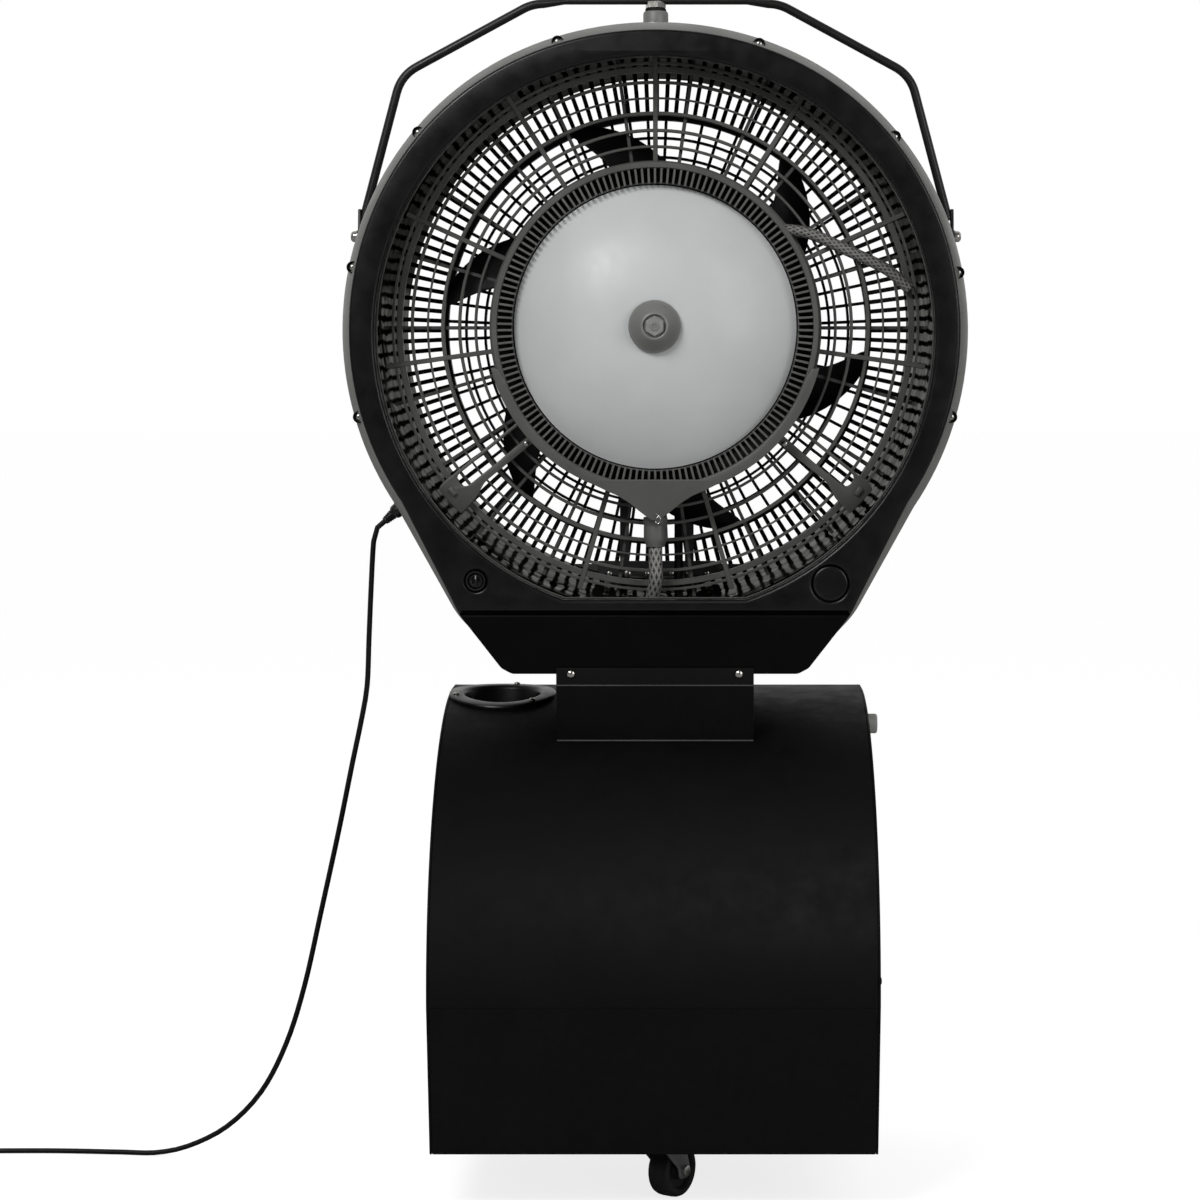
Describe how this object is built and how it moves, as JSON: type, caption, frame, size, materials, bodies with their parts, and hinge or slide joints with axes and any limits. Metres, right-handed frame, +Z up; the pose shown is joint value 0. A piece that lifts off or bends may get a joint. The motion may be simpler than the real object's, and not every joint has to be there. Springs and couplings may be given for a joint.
{
  "type": "mobile misting fan",
  "caption": "Round ducted fan head with a spinning disc atomiser and a lifting yoke, on a wheeled water-tank cabinet with a filler, hoses and a power cord.",
  "frame": {"origin": "on the floor, at the centre of the bounding box of the machine without its free cord", "axes": "+Z up; the air blows towards -Y; +X to the right as seen from the front"},
  "size_m": [1.4184, 0.52, 1.5408],
  "materials": {
    "casing_grey": "satin moulded plastic, fine grain",
    "casing_black": "satin moulded plastic",
    "grille_plastic": "moulded plastic, semi-gloss",
    "duct_gloss": "smooth and wet-looking gloss",
    "dome_plastic": "light grey satin",
    "nose_plastic": "mid grey satin",
    "fan_black": "satin",
    "sheet_black": "matt black powder coat",
    "rod_black": "satin black powder coat",
    "zinc": "zinc plated",
    "steel": "ground steel",
    "motor_metal": "dark painted casting",
    "rubber": "matt",
    "braid": "rubber hose under a braided sleeve",
    "tank_plastic": "translucent grey polyethylene, matt",
    "light_plastic": "light grey satin",
    "cord_black": "matt",
    "caster_wheel": "solid rubber tread"
  },
  "bodies": {
    "machine": {"air_duct": "duct_gloss", "arm_left": "grille_plastic", "arm_right": "grille_plastic", "base_pan": "sheet_black", "blank_cap": "casing_black", "cabinet_back": "sheet_black", "cabinet_side_left": "sheet_black", "cabinet_side_right": "sheet_black", "cabinet_skin": "sheet_black", "comb_ring": "grille_plastic", "control_socket": "casing_black", "cord_coil": "cord_black", "cord_gland": "rubber", "drain_boot": "rubber", "drain_hose": "braid", "drip_collector": "grille_plastic", "feed_hose": "rubber", "filler_ring": "casing_black", "front_bezel": "casing_black", "front_caster_plate": "zinc", "front_grille": "grille_plastic", "motor_cross_bar": "motor_metal", "motor_lead": "braid", "motor_post_left": "motor_metal", "motor_post_right": "motor_metal", "motor_rear_cap": "motor_metal", "motor_saddle": "motor_metal", "motor_shell": "motor_metal", "motor_stator": "steel", "neck_cheek_left": "sheet_black", "neck_cheek_right": "sheet_black", "neck_plate": "sheet_black", "power_cord": "cord_black", "power_plug": "cord_black", "pump": "rubber", "rear_grille": "grille_plastic", "rear_housing": "casing_grey", "rear_left_fork": "zinc", "rear_right_fork": "zinc", "skirt_cover": "casing_black", "water_tank": "tank_plastic", "yoke": "rod_black", "yoke_bolt_left": "zinc", "yoke_bolt_right": "zinc", "yoke_bush": "casing_grey", "yoke_stud": "zinc"},
    "rotor": {"drive_shaft": "steel", "motor_rotor_core": "steel", "fan": "fan_black", "atomiser_disc": "dome_plastic", "atomiser_dome": "dome_plastic", "nose_cone": "nose_plastic", "nose_nut": "nose_plastic"},
    "caster_swivel": {"front_fork": "zinc", "front_axle": "zinc"},
    "front_wheel": {"front_wheel": "caster_wheel"},
    "rear_left_wheel": {"rear_left_wheel": "caster_wheel"},
    "rear_right_wheel": {"rear_right_wheel": "caster_wheel"},
    "flow_knob": {"flow_knob": "light_plastic"},
    "control_knob": {"control_knob": "casing_black"}
  },
  "joints": [
    {"name": "rotor_spin", "type": "hinge", "parent": "machine", "child": "rotor", "pos_m": [0, 0.108, 1.1094], "axis": [0, 1, 0], "continuous": true},
    {"name": "caster_turn", "type": "hinge", "parent": "machine", "child": "caster_swivel", "pos_m": [0.006, -0.145, 0.07], "axis": [0, 0, 1], "continuous": true},
    {"name": "front_wheel_roll", "type": "hinge", "parent": "caster_swivel", "child": "front_wheel", "pos_m": [0.02206, -0.12206, 0.035], "axis": [0.8191, -0.5736, 0], "continuous": true},
    {"name": "rear_left_wheel_roll", "type": "hinge", "parent": "machine", "child": "rear_left_wheel", "pos_m": [-0.205, 0.17, 0.035], "axis": [1, 0, 0], "continuous": true},
    {"name": "rear_right_wheel_roll", "type": "hinge", "parent": "machine", "child": "rear_right_wheel", "pos_m": [0.205, 0.17, 0.035], "axis": [1, 0, 0], "continuous": true},
    {"name": "flow_knob_turn", "type": "hinge", "parent": "machine", "child": "flow_knob", "pos_m": [0.28, 0.12, 0.5807], "axis": [1, 0, 0], "range_deg": [0, 270]},
    {"name": "control_knob_turn", "type": "hinge", "parent": "machine", "child": "control_knob", "pos_m": [-0.23, -0.05, 0.7842], "axis": [0, 1, 0], "range_deg": [0, 270]}
  ]
}
